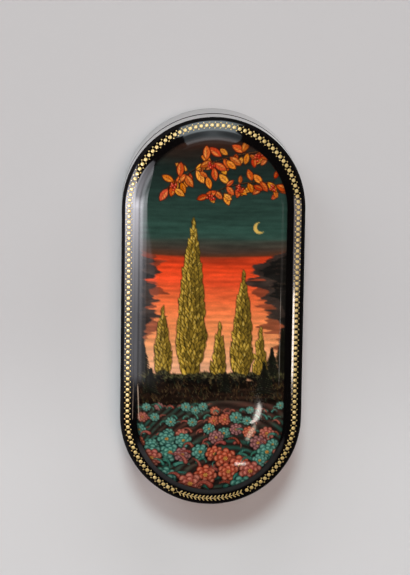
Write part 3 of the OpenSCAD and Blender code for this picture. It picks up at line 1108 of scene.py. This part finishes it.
def bar(tree, long, width, stretch, sockets):
    """A thin bar of gold, as long as stretch says and a fifth as thick as it is wide, moved to its place."""
    size = add(tree, "ShaderNodeCombineXYZ", {"X": long, "Y": width, "Z": width})
    flat = add(tree, "ShaderNodeVectorMath", {0: size, 1: (stretch, 1, 0.2)}, operation="MULTIPLY")
    block = add(tree, "GeometryNodeMeshCube", {"Size": flat})
    return add(tree, "GeometryNodeTransform", {"Geometry": block, **sockets})


def chain_tree():
    """One bead, two grains and four crossing threads at every step along the path, pressed onto the lid."""
    tree, group = new_tree("gold_chain_links", ("pitch", "bead_r", "grain_r", "grain_offset", "thread_w",
                                                "lift"))
    step = add(tree, "ShaderNodeCombineXYZ", {"X": group["pitch"], "Y": group["grain_offset"]})
    parts = [pillow(tree, group["bead_r"], {"Scale": (1, 1, 0.07)})]
    for side in (-1, 1):
        grain = add(tree, "ShaderNodeVectorMath", {0: step, 1: (0.5, side, 0)}, operation="MULTIPLY")
        parts.append(pillow(tree, group["grain_r"], {"Translation": grain, "Scale": (1, 1, 0.12)}))
        # One thread runs to the grain from the bead before it and one from the bead after it
        for middle, run in (((0.25, side / 2, 0), (0.5, side, 0)), ((0.75, side / 2, 0), (-0.5, side, 0))):
            middle = add(tree, "ShaderNodeVectorMath", {0: step, 1: middle}, operation="MULTIPLY")
            run = add(tree, "ShaderNodeVectorMath", {0: step, 1: run}, operation="MULTIPLY")
            long = add(tree, "ShaderNodeVectorMath", {0: run}, operation="LENGTH")
            aim = add(tree, "FunctionNodeAlignRotationToVector", {"Vector": run}, axis="X", pivot_axis="Z")
            parts.append(bar(tree, long, group["thread_w"], 1, {"Translation": middle, "Rotation": aim}))
    lay_along(tree, parts, group)
    return tree


def sprig_tree():
    """A length of stem and a pair of leaves at every step along the path, pressed onto the lid."""
    tree, group = new_tree("gold_sprig_leaves", ("pitch", "leaf_l", "leaf_w", "stem_w", "lift"))
    parts = [bar(tree, group["pitch"], group["stem_w"], 1.05, {})]
    long, wide = group["leaf_l"], group["leaf_w"]
    size = add(tree, "ShaderNodeCombineXYZ", {"X": long, "Y": wide, "Z": wide})
    shape = add(tree, "ShaderNodeVectorMath", {0: size, 1: (1, 1, 0.1)}, operation="MULTIPLY")
    for side in (-1, 1):
        place = add(tree, "ShaderNodeVectorMath", {0: long, 1: (0.36, 0.4 * side, 0)}, operation="MULTIPLY")
        parts.append(pillow(tree, 0.5, {"Translation": place, "Rotation": (0, 0, side * math.radians(48)),
                                        "Scale": shape}))
    lay_along(tree, parts, group)
    return tree


def lay_along(tree, parts, group):
    """Copies of the joined parts at every step along the path, turned to it, made real, pressed onto the lid
    and given their material."""
    unit = add(tree, "GeometryNodeJoinGeometry", {"Geometry": parts})
    line = add(tree, "GeometryNodeMeshToCurve", {"Mesh": group["path"]})
    even = add(tree, "GeometryNodeResampleCurve", {"Curve": line, "Length": group["pitch"]}, mode="LENGTH")
    tangent = add(tree, "GeometryNodeInputTangent")
    aim = add(tree, "FunctionNodeAlignRotationToVector", {"Vector": tangent}, axis="X", pivot_axis="Z")
    copies = add(tree, "GeometryNodeInstanceOnPoints", {"Points": even, "Instance": unit, "Rotation": aim})
    real = add(tree, "GeometryNodeRealizeInstances", {"Geometry": copies})
    place = add(tree, "ShaderNodeSeparateXYZ", {0: add(tree, "GeometryNodeInputPosition")}).outputs
    above = add(tree, "ShaderNodeCombineXYZ", {"X": place["X"], "Y": place["Y"], "Z": 2 * LID_TOP.z})
    lid = add(tree, "GeometryNodeObjectInfo", {"Object": group["lid"]}, transform_space="RELATIVE")
    fall = add(tree, "GeometryNodeRaycast", {
        "Target Geometry": lid.outputs["Geometry"], "Source Position": above, "Ray Direction": (0, 0, -1),
        "Ray Length": 1})
    rise = add(tree, "ShaderNodeMath", {0: place["Z"], 1: group["lift"]}, operation="ADD")
    laid = add(tree, "GeometryNodeSetPosition", {
        "Geometry": real, "Position": fall.outputs["Hit Position"],
        "Offset": add(tree, "ShaderNodeCombineXYZ", {"Z": rise})})
    smooth = add(tree, "GeometryNodeSetShadeSmooth", {"Geometry": laid, "Shade Smooth": True})
    golden = add(tree, "GeometryNodeSetMaterial", {"Geometry": smooth, "Material": group["gold"]})
    add(tree, "NodeGroupOutput", {"laid": golden})


class BOX_OT_hinge(bpy.types.Operator):
    """Gives the hinge's leaves, nails and pin their metal"""

    bl_idname = "box.finish_hinge"
    bl_label = "Finish the hinge"

    def execute(self, context):
        colours = context.scene.box_colours
        brass = worn_metal("rolled_brass", colours.brass, linear("#7d6130"))
        steel = worn_metal("drawn_steel_wire", colours.steel, linear("#6f6c66"))
        for node in ("hinge_body_leaf", "hinge_lid_leaf", "body_leaf_nails", "lid_leaf_nails", "hinge_pin"):
            materials = frame["nodes"][node].data.materials
            materials.clear()
            materials.append(steel if node == "hinge_pin" else brass)
        return {"FINISHED"}


class BOX_OT_stage(bpy.types.Operator):
    """Sets the floor, the lights, the backdrop and the camera"""

    bl_idname = "box.set_stage"
    bl_label = "Set the stage"

    def execute(self, context):
        scene = context.scene
        scene.view_settings.view_transform = "Standard"
        make_floor(scene.box_colours)
        make_world(scene)
        make_lights(scene.box_stage)
        make_camera(scene)
        return {"FINISHED"}


def make_floor(colours):
    """A pale matt floor, 6 m wide, with painted light: its colour is a little lighter before the box than
    beyond it.
    """
    mesh = bpy.data.meshes.new("floor")
    mesh.from_pydata([(x, y, 0) for x, y in rectangle(6, 6)], [], [(0, 1, 2, 3)])
    floor = new_object("floor", mesh)
    floor.location.z = -0.02 * MM
    material = new_material("matt_paper_backdrop")
    tree = material.node_tree
    # Painted light: the colour ramps lighter towards the lower end, in place of the brighter light falling
    # there
    share = add(tree, "ShaderNodeMapRange", {"Value": axes(tree)["Y"], "From Min": 0, "From Max": -LID_TOP.y},
                interpolation_type="SMOOTHSTEP")
    far, near = (*colours.far_ground, 1), (*colours.near_ground, 1)
    tone = add(tree, "ShaderNodeMix", {"Factor": share, "A": far, "B": near}, data_type="RGBA")
    surface(material, {"Base Color": tone, "Roughness": 0.9, "Specular IOR Level": 0.1})
    mesh.materials.append(material)


def make_world(scene):
    """A pale room: seen as the floor's colour, dark overhead in reflections, an even fill on matt things."""
    world = bpy.data.worlds.new("pale_room")
    scene.world = world
    world.use_nodes = True
    tree = world.node_tree
    tree.nodes.clear()
    place = add(tree, "ShaderNodeTexCoord").outputs["Generated"]
    height = add(tree, "ShaderNodeSeparateXYZ", {0: place}).outputs["Z"]
    room = add(tree, "ShaderNodeMapRange", {"Value": height, "From Min": 0, "From Max": 0.08, "To Min": 0.58,
                                            "To Max": 0.012})
    seen = add(tree, "ShaderNodeBackground", {"Color": (*linear("#c8c7c8"), 1), "Strength": 1})
    mirrored = add(tree, "ShaderNodeBackground", {"Color": (*linear("#fffaf4"), 1), "Strength": room})
    filled = add(tree, "ShaderNodeBackground", {"Color": (1, 0.9, 0.86, 1), "Strength": scene.box_stage.fill})
    ray = add(tree, "ShaderNodeLightPath").outputs
    glossy = add(tree, "ShaderNodeMixShader", {0: ray["Is Glossy Ray"], 1: filled, 2: mirrored})
    straight = add(tree, "ShaderNodeMath", {0: ray["Is Camera Ray"], 1: ray["Is Transmission Ray"]},
                   operation="ADD")
    camera = add(tree, "ShaderNodeMixShader", {0: straight, 1: glossy, 2: seen})
    add(tree, "ShaderNodeOutputWorld", {"Surface": camera})


def facing_origin(across, along, distance):
    """A place in a direction, given as its angles from straight up towards +X and +Y, turned to the box."""
    aim = Vector((math.tan(math.radians(across)), math.tan(math.radians(along)), 1)).normalized()
    right = Vector((0, 1, 0)).cross(aim).normalized()
    return Matrix.Translation(aim * distance) @ Matrix((right, aim.cross(right), aim)).transposed().to_4x4()


def graded(tree, value, steps):
    """A value's level, between steps given as (value, level)."""
    start, end = steps[0][0], steps[-1][0]
    top = max(level for _, level in steps)
    share = add(tree, "ShaderNodeMapRange", {"Value": value, "From Min": start, "From Max": end})
    ramp = add(tree, "ShaderNodeValToRGB", {"Fac": share})
    stops = ramp.color_ramp.elements
    while len(stops) < len(steps):
        stops.new(0.5)
    for stop, (at, level) in zip(stops, steps):
        stop.position = (at - start) / (end - start)
        stop.color = (level / top, level / top, level / top, 1)
    return add(tree, "ShaderNodeMath", {0: ramp, 1: top}, operation="MULTIPLY")


def light_panel(name, across, along, outline, levels, tint, shares=((-90, 1), (90, 1)), distance=0.62):
    """A flat softbox, seen in gloss alone. Its outline lies in its own plane, in metres towards +X and +Y.
    Levels are its brightness by the sine of a direction's tilt towards +Y, and shares are how much of that is
    left by the direction's angle from straight up towards +X, in degrees."""
    place = facing_origin(across, along, distance)
    mesh = bpy.data.meshes.new(name)
    mesh.from_pydata([place @ Vector((x, y, 0)) for x, y in outline], [], [range(len(outline))])
    panel = new_object(name, mesh)
    material = new_material(name)
    tree = material.node_tree
    spot = add(tree, "ShaderNodeTexCoord").outputs["Object"]
    way = add(tree, "ShaderNodeVectorMath", {0: spot}, operation="NORMALIZE")
    parts = add(tree, "ShaderNodeSeparateXYZ", {0: way}).outputs
    sideways = add(tree, "ShaderNodeMath", {0: parts["X"], 1: parts["Z"]}, operation="ARCTAN2")
    kept = graded(tree, sideways, [(math.radians(turn), share) for turn, share in shares])
    level = add(tree, "ShaderNodeMath", {0: graded(tree, parts["Y"], levels), 1: kept}, operation="MULTIPLY")
    glow = add(tree, "ShaderNodeEmission", {"Color": (*linear(tint), 1), "Strength": level})
    add(tree, "ShaderNodeOutputMaterial", {"Surface": glow})
    mesh.materials.append(material)
    panel.visible_camera = False
    panel.visible_diffuse = False
    panel.visible_shadow = False


def soft_sun(name, across, along, spread, level, tint):
    """An even light from one direction that matt surfaces take and gloss does not mirror."""
    data = bpy.data.lights.new(name, "SUN")
    data.angle = math.radians(spread)
    data.energy = level
    data.color = linear(tint)
    lamp = new_object(name, data)
    lamp.matrix_world = facing_origin(across, along, 2)
    lamp.visible_glossy = False


def rectangle(width, long):
    """An outline with its middle at its origin."""
    return [(-width / 2, -long / 2), (width / 2, -long / 2), (width / 2, long / 2), (-width / 2, long / 2)]


def make_lights(stage):
    """The soft lights that matt colours take, and the panels that the gloss mirrors."""
    for name, across, along, spread, level, tint in (
        ("key", -3, 34, 12, stage.key, "#ecfdff"),
        ("side", -24, 33, 16, stage.side, "#e6f6ff"),
        ("low", -2, 71, 26, stage.low, "#fff6fa"),
        ("low_left", -52, 52, 30, stage.low * 0.6, "#f8faff"),
        ("low_right", 48, 52, 30, stage.low * 0.5, "#f8faff"),
        ("overhead", 4, 6, 20, stage.overhead, "#ffe4da"),
    ):
        soft_sun(name, across, along, spread, level, tint)
    for name, across, along, outline, tint, levels, shares in (
        ("left_softbox", -45, 0, [(-0.55, -0.22), (0.49, -0.22), (0.42, -0.108), (0.26, 0.066),
                                  (-0.18, 0.385), (-0.31, 0.48), (-0.55, 0.48)], "#f6f3fb",
         ((-0.243, 0), (-0.236, 2.6), (-0.18, 2.6), (-0.139, 5.2), (-0.11, 8.5), (-0.085, 13), (-0.05, 18),
          (0, 16), (0.035, 13), (0.085, 7), (0.285, 5.5), (0.44, 4), (0.58, 2)),
         ((-88, 0), (-84, 0.85), (-76, 0.85), (-70, 0.6), (-62, 0.6), (-54, 0.95), (-40, 1), (-26, 0.85),
          (-18, 0.85), (-15, 0.5), (-12, 0.15), (-8, 0))),
        ("top_softbox", -1, 30, [(-0.07, -0.215), (0.07, -0.215), (0.105, -0.094), (0.12, 0), (0.25, 0.3),
                                 (0.35, 0.56), (-0.35, 0.56), (-0.25, 0.3), (-0.12, 0), (-0.105, -0.094)],
         "#eefaff",
         ((0.212, 0), (0.235, 1.2), (0.27, 4.2), (0.6, 4.6), (0.75, 2.4), (0.88, 1.3), (0.95, 1.3)),
         ((-60, 0.45), (-30, 0.5), (-12, 0.8), (-6, 1), (6, 1), (12, 0.8), (30, 0.5), (60, 0.45))),
        ("right_softbox", 29, -7, rectangle(0.16, 0.14), "#ffeee9",
         ((-0.165, 0), (-0.15, 1.4), (-0.12, 3), (-0.1, 1.6), (-0.07, 3.6), (-0.02, 3.2), (0, 0)),
         ((-90, 1), (90, 1))),
    ):
        light_panel(name, across, along, outline, levels, tint, shares)
    for name, across, along, distance, outline, level, tint in (
        ("left_window", -56, -28.2, 0.45, [(0.03, -0.013), (0.08, -0.013), (-0.02, 0.013), (-0.07, 0.013)], 9,
         "#ffdcc0"),
        ("right_lamp", 24.7, -12.4, 0.6, rectangle(0.04, 0.055), 27, "#ffefe2"),
        ("low_window", 12, -16.6, 0.6, [(-0.013, -0.006), (-0.005, -0.008), (0.013, 0.006), (0.006, 0.009)],
         22, "#fff8ee"),
        ("low_smear", 10.9, -19.2, 0.6, [(-0.011, -0.022), (-0.003, -0.024), (0.006, -0.006), (0.014, 0.006),
                                         (0.012, 0.02), (0.004, 0.01), (-0.004, -0.002)], 8, "#fff0d8"),
        ("low_glint", 8.9, -26.6, 0.6, rectangle(0.024, 0.006), 18, "#fff8ee"),
    ):
        light_panel(name, across, along, outline, ((-1, level), (1, level)), tint, distance=distance)


def make_camera(scene):
    """The photograph's view: nearly straight down on the lid, from a little beyond its upper end."""
    stage = scene.box_stage
    data = bpy.data.cameras.new("camera")
    data.lens = stage.camera_lens
    data.sensor_width = 36
    data.clip_start, data.clip_end = 0.01, 20
    at = Vector(stage.camera_at)
    back = (at - Vector(stage.camera_aim)).normalized()
    upper_end = Vector((math.sin(stage.camera_roll), math.cos(stage.camera_roll), 0))
    right = upper_end.cross(back).normalized()
    turned = Matrix((right, back.cross(right), back)).transposed().to_4x4()
    camera = new_object("camera", data)
    camera.matrix_world = Matrix.Translation(at) @ turned
    scene.camera = camera


class BOX_PT_panel(bpy.types.Panel):
    """Lists the steps that dress the box"""

    bl_idname = "BOX_PT_panel"
    bl_label = "Lacquered box"
    bl_space_type = "VIEW_3D"
    bl_region_type = "UI"
    bl_category = "Lacquered box"

    def draw(self, context):
        for step in STEPS:
            self.layout.operator(step.bl_idname)


GROUPS = {
    "box_lid": LidSizes, "box_walls": WallSizes, "box_chain": ChainSizes, "box_sprig": SprigSizes,
    "box_panel": PanelSizes, "box_colours": BoxColours, "box_stage": StageSettings,
}
STEPS = (BOX_OT_body, BOX_OT_lid, BOX_OT_painting, BOX_OT_chain, BOX_OT_sprig, BOX_OT_hinge, BOX_OT_stage)
CLASSES = (*GROUPS.values(), *STEPS, BOX_PT_panel)


def register():
    for cls in CLASSES:
        bpy.utils.register_class(cls)
    for name, group in GROUPS.items():
        setattr(bpy.types.Scene, name, PointerProperty(type=group))


def unregister():
    for name in GROUPS:
        delattr(bpy.types.Scene, name)
    for cls in reversed(CLASSES):
        bpy.utils.unregister_class(cls)


def main():
    register()
    bpy.ops.box.make_body()
    bpy.ops.box.make_lid()
    bpy.ops.box.paint_panel()
    bpy.ops.box.lay_chain()
    bpy.ops.box.lay_sprig()
    bpy.ops.box.finish_hinge()
    bpy.ops.box.set_stage()


if __name__ == "__main__":
    main()
